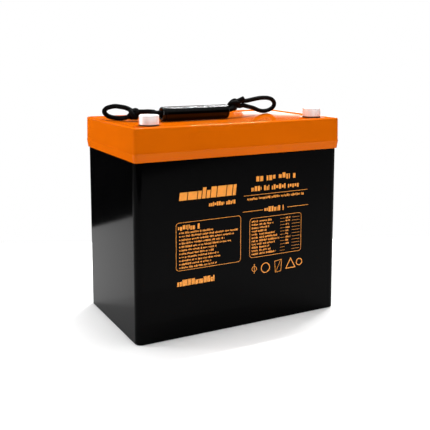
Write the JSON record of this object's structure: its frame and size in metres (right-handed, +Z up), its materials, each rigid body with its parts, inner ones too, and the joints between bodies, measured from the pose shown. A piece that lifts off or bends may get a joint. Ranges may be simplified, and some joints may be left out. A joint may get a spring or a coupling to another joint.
{
  "type": "deep cycle battery",
  "caption": "Box-shaped deep cycle lithium battery: black case, orange lid, round threaded terminals at the front corners, rope handle with a grip tube, cell pack and electronics inside.",
  "frame": {"origin": "middle of the case's underside", "axes": "+X along the case's length, to the right as seen from the printed front; -Y is the printed front; +Z up"},
  "size_m": [0.229, 0.138, 0.2248],
  "materials": {
    "lid_orange": "glossy moulded ABS, orange",
    "case_black": "glossy moulded ABS, black",
    "terminal_tin": "tin-plated brass, satin",
    "seal_rubber": "matt black rubber",
    "grip_black": "glossy black plastic tube",
    "rope_black": "braided black polyester rope",
    "steel": "zinc-plated steel",
    "cell_shell": "aluminium cell can in blue film",
    "copper": "nickel-plated copper, satin",
    "board_green": "printed circuit board",
    "heatsink_metal": "extruded aluminium, satin",
    "insulator": "glass-epoxy sheet",
    "foam_grey": "closed-cell foam",
    "cable_red": "red silicone cable",
    "cable_black": "black silicone cable",
    "module_plastic": "white nylon"
  },
  "bodies": {
    "battery": {"balance_connector": "module_plastic", "balance_harness": "cable_black", "base_pad": "foam_grey", "bluetooth_module": "board_green", "bms_board": "board_green", "bms_heatsink": "heatsink_metal", "bms_screw_1": "steel", "bms_screw_2": "steel", "bms_screw_3": "steel", "bms_screw_4": "steel", "bms_tray": "module_plastic", "busbar_1": "copper", "busbar_2": "copper", "busbar_3": "copper", "cable_lug_negative": "copper", "cable_lug_positive": "copper", "cable_negative": "cable_black", "cable_pack_negative": "cable_black", "cable_positive": "cable_red", "case": "case_black", "cell_1": "cell_shell", "cell_2": "cell_shell", "cell_3": "cell_shell", "cell_4": "cell_shell", "cell_cover": "insulator", "cell_spacer_1": "insulator", "cell_spacer_2": "insulator", "cell_spacer_3": "insulator", "end_plate_front": "insulator", "end_plate_rear": "insulator", "foam_block_left": "foam_grey", "foam_block_right": "foam_grey", "lid": "lid_orange", "lid_gasket": "seal_rubber", "pack_strap_lower": "steel", "pack_strap_upper": "steel", "pack_tab_negative": "copper", "pack_tab_positive": "copper", "probe_lead": "cable_black", "temperature_probe": "steel", "terminal_negative": "terminal_tin", "terminal_nut_negative": "steel", "terminal_nut_positive": "steel", "terminal_positive": "terminal_tin", "terminal_seal_negative": "seal_rubber", "terminal_seal_positive": "seal_rubber", "terminal_washer_negative": "steel", "terminal_washer_positive": "steel", "thermal_pad": "foam_grey"},
    "rope": {"rope_strand": "rope_black", "rope_left_loop": "rope_black", "rope_left_knot": "rope_black", "rope_right_loop": "rope_black", "rope_right_knot": "rope_black", "rope_tail": "rope_black"},
    "grip": {"grip_tube": "grip_black", "grip_cap_left": "grip_black", "grip_cap_right": "grip_black"}
  },
  "joints": [
    {"name": "handle_lift", "type": "slide", "parent": "battery", "child": "rope", "axis": [0, 0, 1], "range_m": [0, 0.06]},
    {"name": "grip_spin", "type": "hinge", "parent": "rope", "child": "grip", "pos_m": [-0.0261, -0.013, 0.2096], "axis": [1, 0, 0], "continuous": true}
  ]
}
